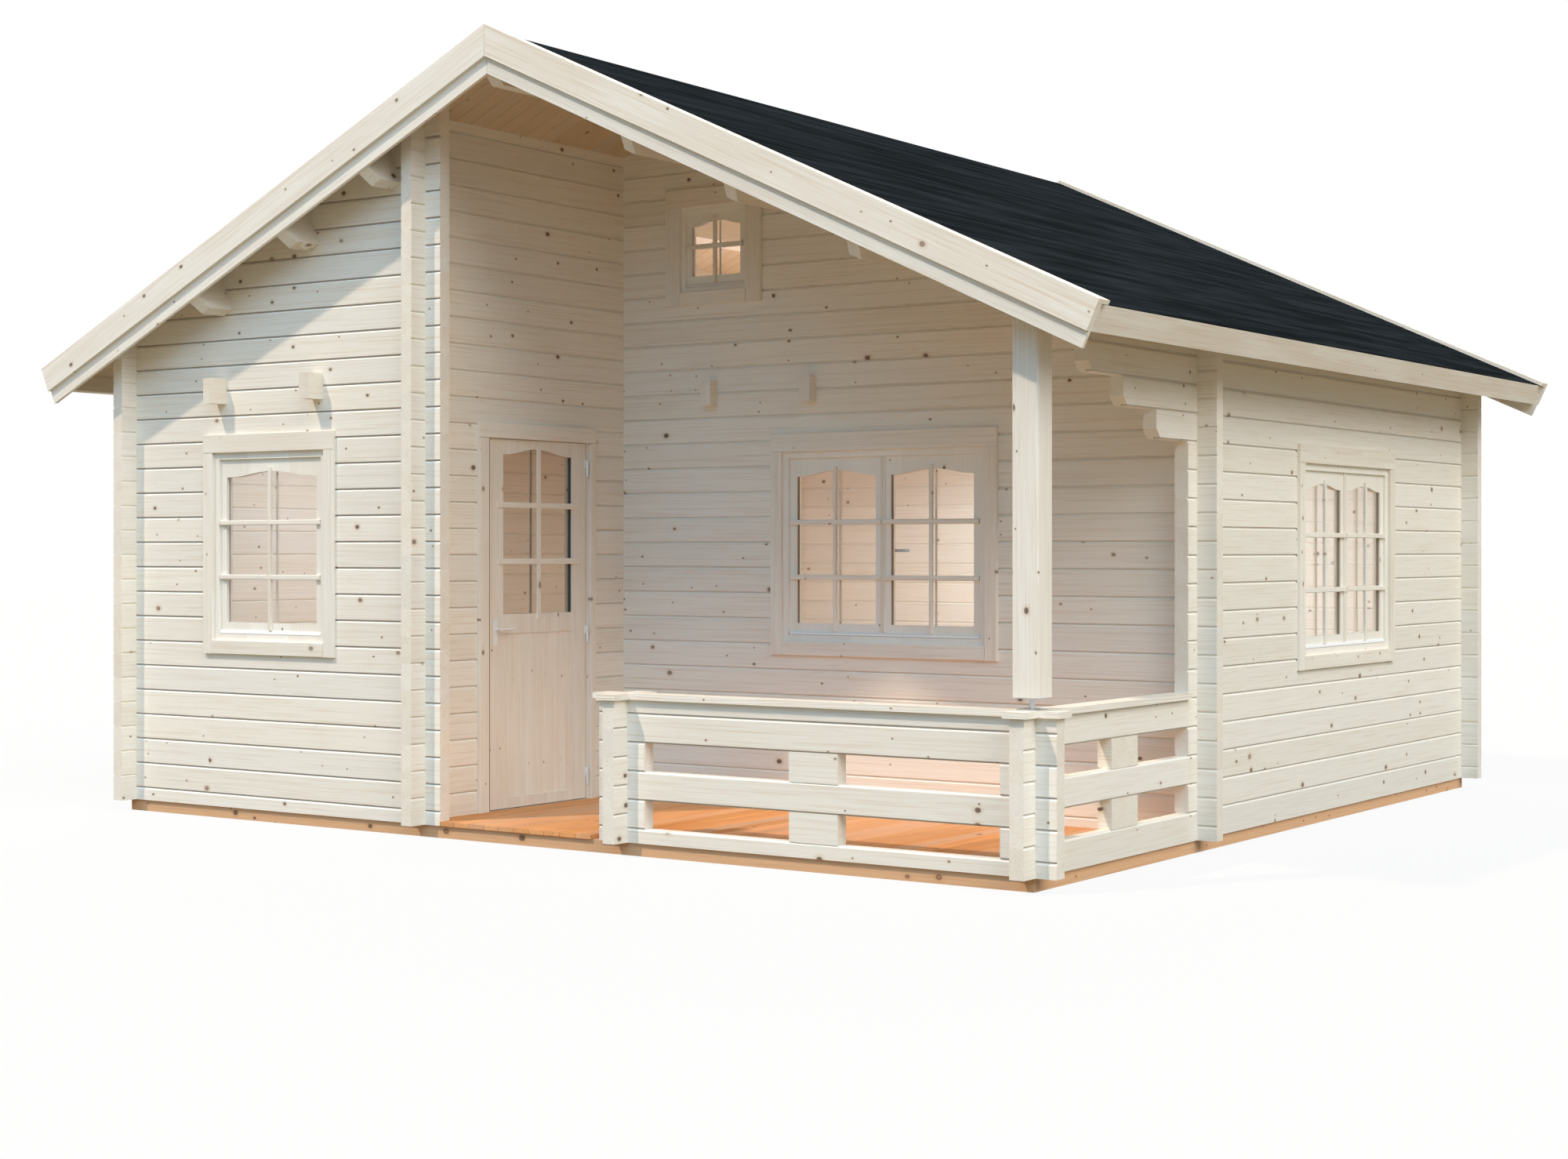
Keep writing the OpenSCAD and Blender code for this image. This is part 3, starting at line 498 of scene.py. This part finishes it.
class Boards:
    """Boards gathered into one mesh, each with its own grain."""

    NUMBER_STEP = 1.37

    def __init__(self):
        self.bm = bmesh.new()
        self.grain = self.bm.verts.layers.float_vector.new("grain")
        self.board = self.bm.verts.layers.float.new("board")
        self.count = 0

    def prism(self, outline, start, end, place):
        """An outline carried from start to end, with the grain along it; place(a, b, c) gives each point."""
        self.count += 1
        rings = []
        for c in (start, end):
            ring = []
            for a, b in outline:
                reach = c(a, b) if callable(c) else c
                vert = self.bm.verts.new(place(a, b, reach))
                vert[self.grain] = (reach, a, b)
                vert[self.board] = self.count * self.NUMBER_STEP
                ring.append(vert)
            rings.append(ring)
        first, last = rings
        self.bm.faces.new(first[::-1])
        self.bm.faces.new(last)
        for i in range(len(outline)):
            j = (i + 1) % len(outline)
            self.bm.faces.new((first[i], first[j], last[j], last[i]))

    def done(self, name, material, body, slot):
        bmesh.ops.recalc_face_normals(self.bm, faces=self.bm.faces)
        return new_piece(name, self.bm, material, body)


def eased(a0, a1, b0, b1, cut):
    """Corners of a rectangle whose two edges on the low b side are eased."""
    return [(a0 + cut, b0), (a1 - cut, b0), (a1, b0 + cut), (a1, b1), (a0, b1), (a0, b0 + cut)]


# Roof boards, with a V joint between each two on their underside
ROOF_BOARDS = 54
ROOF_VEE = 0.006


def slope_point(side, u, w, y):
    """Point u down the slope and w over its underside."""
    x = u * math.cos(PITCH) + w * math.sin(PITCH)
    return (side * x, y, RIDGE_Z - u * math.sin(PITCH) + w * math.cos(PITCH))


def roof_boards(side, name, node):
    made = Boards()
    width = -2 * ROOF_Y / ROOF_BOARDS
    for i in range(ROOF_BOARDS):
        y0 = ROOF_Y + i * width
        y1 = y0 + width
        outline = [
            (y0, ROOF_T), (y0, ROOF_VEE), (y0 + ROOF_VEE, 0.0),
            (y1 - ROOF_VEE, 0.0), (y1, ROOF_VEE), (y1, ROOF_T)]
        made.prism(
            outline, lambda y, w: -w * math.tan(PITCH), ROOF_L,
            lambda y, w, u: slope_point(side, u, w, y))
    piece = made.done(name, roof_wood, "cottage", "roof_wood")
    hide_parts(node)


roof_boards(-1, "roof_boards_left", "left_roof_boards")
roof_boards(1, "roof_boards_right", "right_roof_boards")


# Windows: centre and foot of the cut-out, its size inside the casing, the frame that shows, stile and head of
# the sashes, width of the upright casing boards, and heights of the bars
LARGE = dict(h=1.080, show=0.035, stile=0.045, head=0.068, casing=0.070)
WINDOWS = [
    dict(LARGE, face="front", at=(-1.7325, FRONT_Y), z=0.9395, w=0.836, sashes=1, bars=(1.296, 1.586)),
    dict(LARGE, face="front", at=(1.0825, PORCH_Y), z=0.9395, w=1.238, sashes=2, bars=(1.296, 1.586)),
    dict(LARGE, face="right", at=(RIGHT_X, 0.785), z=0.872, w=1.238, sashes=2, bars=(1.2285, 1.5185)),
    dict(face="front", at=(0.010, PORCH_Y), z=2.8295, w=0.440, h=0.540, show=0.025, stile=0.032, head=0.050,
         casing=0.098, sashes=1, bars=(3.092,)),
]
DOUBLE_WINDOWS = [win for win in WINDOWS if win["sashes"] == 2]
SILL, HEAD_DROP = 0.0175, 0.0595
SASH_BACK, SASH_T, SASH_FOOT, SASH_GAP, ARCH = 0.015, 0.044, 0.061, 0.002, 0.029
INSIDE = SASH_BACK + SASH_T
PANE_D = SASH_BACK + SASH_T / 2 - 0.004
CASING_HEAD, CASING_SILL, CASING_GAP, CASING_EASE = 0.098, 0.073, 0.001, 0.002
COVER_W, COVER_T, COVER_EASE, COVER_FOOT, COVER_HEAD = 0.030, 0.008, 0.003, 0.022, 0.003

# Bars outside and inside the sashes: widths, thickness, and how far they run over the pane's edges
BAR_W, UPRIGHT_W, BAR_T, BAR_EASE = 0.026, 0.020, 0.017, 0.003
INNER_BAR_W, INNER_BAR_T = 0.010, 0.008
BAR_END, BAR_FOOT, BAR_HEAD = 0.008, 0.040, 0.020

# Outlines: the glazing strip as distance over the pane and depth, the drip strip as depth from the sash's face
# and height over its foot
GLAZING_STRIP = ((0.0, PANE_D - 0.011), (0.003, PANE_D - 0.008), (0.005, PANE_D), (0.0, PANE_D))
DRIP_STRIP = (
    (0.0, 0.020), (-0.004, 0.020), (-0.013, 0.010), (-0.015, 0.002), (-0.012, 0.002), (-0.010, 0.007),
    (0.0, 0.014))
DRIP_END = 0.004


def window_place(win):
    """Point at s along the wall, d behind its log face and height z."""
    x0, y0 = win["at"]
    if win["face"] == "front":
        return lambda s, d, z: (x0 + s, y0 + d, z)
    return lambda s, d, z: (x0 - d, y0 + s, z)


def level_place(win):
    """The same point for an outline in height and depth that is carried along the wall."""
    place = window_place(win)
    return lambda z, d, s: place(s, d, z)


def sash_spans(win):
    """Left and right edge of each sash, and the foot and head of the sashes."""
    edge = win["w"] / 2 - win["show"]
    foot = win["z"] + SILL + win["show"]
    head = win["z"] + win["h"] - HEAD_DROP - win["show"]
    if win["sashes"] == 1:
        return [(-edge, edge)], foot, head
    return [(-edge, -SASH_GAP / 2), (SASH_GAP / 2, edge)], foot, head


def facing_bar(mid, half, out, back):
    """Outline of a bar with its outer edges eased."""
    step = BAR_EASE if out > back else -BAR_EASE
    return [
        (mid - half, back), (mid - half, out - step), (mid - half + BAR_EASE, out),
        (mid + half - BAR_EASE, out), (mid + half, out - step), (mid + half, back)]


def add_bars(made, win):
    """One upright and level bars on both faces of each sash."""
    spans, foot, head = sash_spans(win)
    faces = (
        (SASH_BACK - BAR_T, SASH_BACK, BAR_W / 2, UPRIGHT_W / 2),
        (INSIDE + INNER_BAR_T, INSIDE, INNER_BAR_W / 2, INNER_BAR_W / 2))
    for left, right in spans:
        for out, back, half, upright in faces:
            feet = [foot + SASH_FOOT - BAR_FOOT] + [z + half for z in win["bars"]]
            tops = [z - half for z in win["bars"]] + [head - win["head"] + BAR_HEAD]
            for z0, z1 in zip(feet, tops):
                made.prism(facing_bar((left + right) / 2, upright, out, back), z0, z1, window_place(win))
            for z in win["bars"]:
                made.prism(facing_bar(z, half, out, back), left + BAR_END, right - BAR_END, level_place(win))


def add_cover_strip(made, win):
    """The strip over the joint of two sashes."""
    _, foot, head = sash_spans(win)
    outline = eased(-COVER_W / 2, COVER_W / 2, SASH_BACK - COVER_T, SASH_BACK, COVER_EASE)
    made.prism(outline, foot + COVER_FOOT, head - COVER_HEAD, window_place(win))


def add_casing(made, win):
    """Casing boards: head, sill, and the two uprights."""
    z0 = win["z"] + SILL
    z1 = win["z"] + win["h"] - HEAD_DROP
    inner = win["w"] / 2
    edge = inner + win["casing"]
    for b0, b1, reach in ((z1, z1 + CASING_HEAD, edge), (z0 - CASING_SILL, z0, inner - CASING_GAP)):
        made.prism(eased(b0, b1, -TRIM_T, 0.0, CASING_EASE), -reach, reach, level_place(win))
    for s0, s1 in ((-edge, -inner), (inner, edge)):
        made.prism(
            eased(s0, s1, -TRIM_T, 0.0, CASING_EASE), z0 - CASING_SILL, z1 - CASING_GAP, window_place(win))


def add_drip_strip(made, win):
    """The drip strip along the sash feet."""
    place = window_place(win)
    spans, foot, _ = sash_spans(win)
    outline = [(SASH_BACK + d, foot + z) for d, z in DRIP_STRIP]
    made.prism(outline, spans[0][0] + DRIP_END, spans[-1][1] - DRIP_END, lambda d, z, s: place(s, d, z))


def add_glazing_strips(made, win):
    """Strips along both upright edges of each pane."""
    spans, foot, head = sash_spans(win)
    for left, right in spans:
        for edge, inward in ((left + win["stile"], 1.0), (right - win["stile"], -1.0)):
            outline = [(edge + inward * over, d) for over, d in GLAZING_STRIP]
            made.prism(outline, foot + SASH_FOOT, head - win["head"] - ARCH, window_place(win))


# Turn handles inside: share of the sash's height, half size of the plate, neck and lever, and their depths
HANDLE_Z = 0.477
PLATE_HALF_W, PLATE_HALF_H, PLATE_T = 0.011, 0.032, 0.006
NECK_HALF, NECK_T = 0.008, 0.030
LEVER_HALF, LEVER_BACK, LEVER_T = 0.008, 0.028, 0.040
LEVER_ENDS = (-0.010, 0.088)


def add_handle(made, win):
    """A turn handle on the right-hand sash: a plate on the stile, a neck, and a lever over the pane."""
    spans, foot, head = sash_spans(win)
    s = spans[-1][0] + win["stile"] / 2
    z = foot + HANDLE_Z * (head - foot)
    plate = facing_bar(s, PLATE_HALF_W, INSIDE + PLATE_T, INSIDE)
    made.prism(plate, z - PLATE_HALF_H, z + PLATE_HALF_H, window_place(win))
    neck = facing_bar(s, NECK_HALF, INSIDE + NECK_T, INSIDE + PLATE_T)
    made.prism(neck, z - NECK_HALF, z + NECK_HALF, window_place(win))
    lever = facing_bar(z, LEVER_HALF, INSIDE + LEVER_T, INSIDE + LEVER_BACK)
    made.prism(lever, s + LEVER_ENDS[0], s + LEVER_ENDS[1], level_place(win))


def gathered(add, windows=WINDOWS):
    """The boards that a function adds for each window."""
    made = Boards()
    for win in windows:
        add(made, win)
    return made


gathered(add_bars).done("window_bars", trim_wood, "cottage", "trim_wood")
gathered(add_cover_strip, DOUBLE_WINDOWS).done("sash_cover_strips", trim_wood, "cottage", "trim_wood")
casing_piece = gathered(add_casing).done("window_casing_boards", trim_wood, "cottage", "trim_wood")
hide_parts("window_casings")
gathered(add_drip_strip).done("window_drip_strips", satin, "cottage", "steel")
# The window glazing strips are coloured brown as painted shade of the reveals beside the panes
gathered(add_glazing_strips, DOUBLE_WINDOWS).done("window_glazing_strips", painted_shade_brown, "cottage", "roof_felt")
gathered(add_handle, DOUBLE_WINDOWS).done("window_handles", steel, "cottage", "steel")

# Door leaf: edges, thickness, stiles, and the heights of its light and lower panel
LEAF_Y0, LEAF_Y1, LEAF_Z0, LEAF_Z1 = -2.249, -1.453, 0.089, 2.019
DOOR_T, DOOR_STILE = 0.054, 0.118
LIGHT_Z0, LIGHT_Z1 = LEAF_Z0 + 1.015, LEAF_Z1 - 0.046
PANEL_Z0, PANEL_Z1 = LEAF_Z0 + 0.056, LEAF_Z0 + 0.914
LIGHT_Y0, LIGHT_Y1 = LEAF_Y0 + DOOR_STILE, LEAF_Y1 - DOOR_STILE
DOOR_MID = (LEAF_Y0 + LEAF_Y1) / 2
INNER_X = HALL_X - DOOR_T

# Door bars: thickness, half widths outside and inside, easing, heights, and reach past the light
DOOR_BAR_T, DOOR_BAR_EASE = 0.009, 0.003
DOOR_BAR_HALF, INNER_DOOR_BAR_HALF = 0.0155, 0.006
DOOR_BAR_LEVELS = (1.675, 1.380)
DOOR_BAR_FOOT, DOOR_BAR_HEAD, DOOR_BAR_REACH = 0.030, 0.018, 0.045

# Door glazing strip, as distance over the pane and depth, and how far it ends under the light's head
DOOR_PANE_D = DOOR_T / 2 - 0.004
DOOR_STRIP = ((0.0, 0.007), (0.004, 0.010), (0.006, DOOR_PANE_D), (0.0, DOOR_PANE_D))
DOOR_STRIP_HEAD = 0.033

# Panel boards, sunk into both faces of the leaf
PANEL_BOARDS = 12
PANEL_SUNK, PANEL_T, PANEL_EASE = 0.010, 0.005, 0.0014

# Door casing: its opening, the widths of its boards, and a brown strip along the lock side that is painted
# shade where the casing meets the leaf
CASE_Y0, CASE_Y1, CASE_Z1 = LEAF_Y0 - 0.010, LEAF_Y1 + 0.022, LEAF_Z1 + 0.003
CASE_LOCK_W, CASE_HINGE_W, CASE_HEAD_W, CASE_EASE = 0.075, 0.045, 0.080, 0.003
SHADE_STRIP_W, SHADE_STRIP_SUNK, SHADE_STRIP_EASE, SHADE_STRIP_FOOT = 0.006, 0.002, 0.001, 0.006


def door_bars():
    made = Boards()
    for back, out, half in ((HALL_X, 1.0, DOOR_BAR_HALF), (INNER_X, -1.0, INNER_DOOR_BAR_HALF)):
        made.prism(
            eased(DOOR_MID - half, DOOR_MID + half, 0.0, DOOR_BAR_T, DOOR_BAR_EASE),
            LIGHT_Z0 - DOOR_BAR_FOOT, LIGHT_Z1 + DOOR_BAR_HEAD,
            lambda y, d, z: (back + out * (DOOR_BAR_T - d), y, z))
        for level in DOOR_BAR_LEVELS:
            outline = eased(level - half, level + half, 0.0, DOOR_BAR_T, DOOR_BAR_EASE)
            left = LIGHT_Y0 - DOOR_BAR_REACH, DOOR_MID - half
            right = DOOR_MID + half, LIGHT_Y1 + DOOR_BAR_REACH
            for y0, y1 in (left, right):
                made.prism(outline, y0, y1, lambda z, d, y: (back + out * (DOOR_BAR_T - d), y, z))
    return made


def door_strips():
    made = Boards()
    for edge, inward in ((LIGHT_Y0, 1.0), (LIGHT_Y1, -1.0)):
        outline = [(edge + inward * over, d) for over, d in DOOR_STRIP]
        made.prism(outline, LIGHT_Z0, LIGHT_Z1 - DOOR_STRIP_HEAD, lambda y, d, z: (HALL_X - d, y, z))
    return made


def door_panels():
    made = Boards()
    width = (LIGHT_Y1 - LIGHT_Y0) / PANEL_BOARDS
    for back, out in ((HALL_X - PANEL_SUNK, 1.0), (INNER_X + PANEL_SUNK, -1.0)):
        for i in range(PANEL_BOARDS):
            y0 = LIGHT_Y0 + i * width
            made.prism(
                eased(y0, y0 + width, 0.0, PANEL_T, PANEL_EASE), PANEL_Z0, PANEL_Z1,
                lambda y, d, z: (back + out * (PANEL_T - d), y, z))
    return made


def casing_point(y, d, z):
    """Point at depth d under the face of the door casing."""
    return (HALL_X + TRIM_T - d, y, z)


def door_casing():
    made = Boards()
    y0 = CASE_Y0 - CASE_LOCK_W
    y1 = CASE_Y1 + CASE_HINGE_W
    for low, high in ((y0, CASE_Y0), (CASE_Y1, y1)):
        made.prism(eased(low, high, 0.0, TRIM_T, CASE_EASE), FLOOR_Z, CASE_Z1 - CASING_GAP, casing_point)
    made.prism(
        eased(CASE_Z1, CASE_Z1 + CASE_HEAD_W, 0.0, TRIM_T, CASE_EASE), y0, y1,
        lambda z, d, y: casing_point(y, d, z))
    return made


# A brown strip on the casing's lock-side edge, from floor to head: painted shade where the casing meets the
# leaf
def door_shade_strip():
    made = Boards()
    made.prism(
        eased(CASE_Y0, CASE_Y0 + SHADE_STRIP_W, SHADE_STRIP_SUNK, TRIM_T, SHADE_STRIP_EASE),
        FLOOR_Z + SHADE_STRIP_FOOT, CASE_Z1 - CASING_GAP, casing_point)
    return made


door_bars().done("door_bars", door_wood, "door", "trim_wood")
door_strips().done("door_glazing_strips", rubber, "door", "roof_felt")
door_panels().done("door_panel_boards", door_wood, "door", "trim_wood")
door_casing_piece = door_casing().done("door_casing_boards", trim_wood, "cottage", "trim_wood")
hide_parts("door_casing")
door_shade_strip().done("door_painted_shade_strip", painted_shade_brown, "cottage", "roof_felt")

# Deck boards, front to back: gap at each side, easing, and three V grooves
DECK_BOARDS = 35
DECK_T = FLOOR_Z - BASE_H
DECK_GAP, DECK_EASE = 0.0015, 0.003
VEE_COUNT, VEE_HALF, VEE_DEPTH = 3, 0.004, 0.005
ENTRY = (HALL_X + STUB_L, RAIL_X - LOG_T - STUB_L)
ENTRY_SLACK = 0.02


def deck_start(x0, x1):
    """Front end of a deck board: at the entry it reaches the edge, and it stops behind rails and end post."""
    if x1 > RAIL_X - LOG_T and x0 < RAIL_X:
        return FRONT_Y + LOG_T + STUB_L
    if x0 > ENTRY[0] - ENTRY_SLACK and x1 < ENTRY[1] + ENTRY_SLACK:
        return FRONT_Y
    return FRONT_Y + LOG_T


def porch_deck():
    made = Boards()
    pitch = (RIGHT_X - LOG_T - HALL_X) / DECK_BOARDS
    for i in range(DECK_BOARDS):
        x0 = HALL_X + i * pitch + DECK_GAP
        x1 = HALL_X + (i + 1) * pitch - DECK_GAP
        outline = [(x0, DECK_EASE), (x0 + DECK_EASE, 0.0)]
        for k in range(1, VEE_COUNT + 1):
            middle = x0 + k * (x1 - x0) / (VEE_COUNT + 1)
            outline += [(middle - VEE_HALF, 0.0), (middle, VEE_DEPTH), (middle + VEE_HALF, 0.0)]
        outline += [(x1 - DECK_EASE, 0.0), (x1, DECK_EASE), (x1, DECK_T), (x0, DECK_T)]
        made.prism(outline, deck_start(x0, x1), PORCH_Y, lambda x, d, y: (x, y, FLOOR_Z - d))
    return made


deck_piece = porch_deck().done("porch_deck_boards", deck_wood, "cottage", "floor_wood")
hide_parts("porch_deck")

# Floor and world: white to the eye, in gloss and through glass, with their own light on the cottage
FLOOR_REACH = 60.0
FLOOR_DROP = 0.001
FLOOR_BOUNCE = (0.24, 0.20, 0.13, 1.0)
FLOOR_SEEN = (0.66, 0.66, 0.66, 1.0)
FLOOR_WHITE = 0.9
SKY_COLOR = (0.86, 0.96, 1.0, 1.0)
SKY_POWER = 0.27


def seen_rays(g):
    """1 on rays that show the background: direct, in gloss and through glass."""
    path = g.node("ShaderNodeLightPath").outputs
    mirrored = g.math("MAXIMUM", path["Is Glossy Ray"], path["Is Transmission Ray"])
    return g.math("MAXIMUM", path["Is Camera Ray"], mirrored)


def stage_floor():
    g = new_graph("stage_floor")
    seen = seen_rays(g)
    matt = g.node("ShaderNodeBsdfDiffuse", {"Color": g.mix(seen, FLOOR_BOUNCE, FLOOR_SEEN)}).outputs[0]
    white = g.node("ShaderNodeEmission", {"Color": WHITE, "Strength": 1.0}).outputs[0]
    mixed = g.node("ShaderNodeMixShader", {0: g.mul(seen, FLOOR_WHITE), 1: matt, 2: white}).outputs[0]
    g.node("ShaderNodeOutputMaterial", {"Surface": mixed})
    mesh = bpy.data.meshes.new("stage_floor")
    r = FLOOR_REACH
    mesh.from_pydata([(-r, -r, 0), (r, -r, 0), (r, r, 0), (-r, r, 0)], [], [(0, 1, 2, 3)])
    plane = bpy.data.objects.new("stage_floor", mesh)
    bpy.context.collection.objects.link(plane)
    mesh.materials.append(g.owner)
    plane.location.z = -FLOOR_DROP


def studio_world():
    world = bpy.data.worlds.new("studio")
    g = Graph(world)
    sky = g.node("ShaderNodeBackground", {"Color": SKY_COLOR, "Strength": SKY_POWER}).outputs[0]
    white = g.node("ShaderNodeBackground", {"Color": WHITE, "Strength": 1.0}).outputs[0]
    mixed = g.node("ShaderNodeMixShader", {0: seen_rays(g), 1: sky, 2: white}).outputs[0]
    g.node("ShaderNodeOutputWorld", {"Surface": mixed})
    return world


def far_lamp(name, source, power, angle, color):
    """A far lamp that shines from a direction, softer as its angle grows."""
    lamp = bpy.data.lights.new(name, "SUN")
    lamp.energy = power
    lamp.angle = math.radians(angle)
    lamp.color = color
    thing = bpy.data.objects.new(name, lamp)
    thing.rotation_euler = Vector(source).to_track_quat("Z", "Y").to_euler()
    bpy.context.collection.objects.link(thing)


def room_lamp(name, where, size, power, color, up=False):
    """A soft lamp inside, which the panes don't show; it shines down, or up."""
    lamp = bpy.data.lights.new(name, "AREA")
    lamp.energy = power
    lamp.size = size
    lamp.color = color
    thing = bpy.data.objects.new(name, lamp)
    thing.location = where
    thing.rotation_euler = (math.pi if up else 0.0, 0.0, 0.0)
    for ray in ("visible_camera", "visible_glossy", "visible_transmission"):
        setattr(thing, ray, False)
    bpy.context.collection.objects.link(thing)


stage_floor()
scene = bpy.context.scene
scene.view_settings.view_transform = "Standard"
scene.world = studio_world()

far_lamp("key_lamp", (-0.65, -1.0, 1.62), 2.20, 2.0, (1.0, 0.83, 0.67))
far_lamp("right_lamp", (1.0, -0.28, 0.85), 2.26, 50.0, (1.0, 0.97, 0.92))
far_lamp("front_lamp", (0.25, -1.0, 0.72), 1.03, 50.0, (0.30, 0.61, 0.94))
far_lamp("back_lamp", (-0.7, 1.0, 0.6), 1.45, 50.0, (1.0, 0.98, 0.95))
room_lamp("room_lamp_back", (0.6, 0.9, 2.15), 2.2, 80.0, (0.77, 0.92, 1.0))
room_lamp("room_lamp_front", (-1.75, -1.5, 2.15), 1.3, 15.0, (0.80, 0.91, 1.0))
room_lamp("loft_lamp", (-0.2, 0.8, 2.45), 2.8, 30.0, (1.0, 0.88, 0.78), up=True)

camera = bpy.data.cameras.new("photo_camera")
camera.sensor_width = 36.0
camera.lens = 54.62
camera.shift_y = -0.0187
camera.clip_end = 200.0
camera_object = bpy.data.objects.new("photo_camera", camera)
camera_object.location = (7.635, -11.533, 1.439)
camera_object.rotation_euler = (math.radians(90.0), 0.0, math.radians(34.533))
bpy.context.collection.objects.link(camera_object)
scene.camera = camera_object
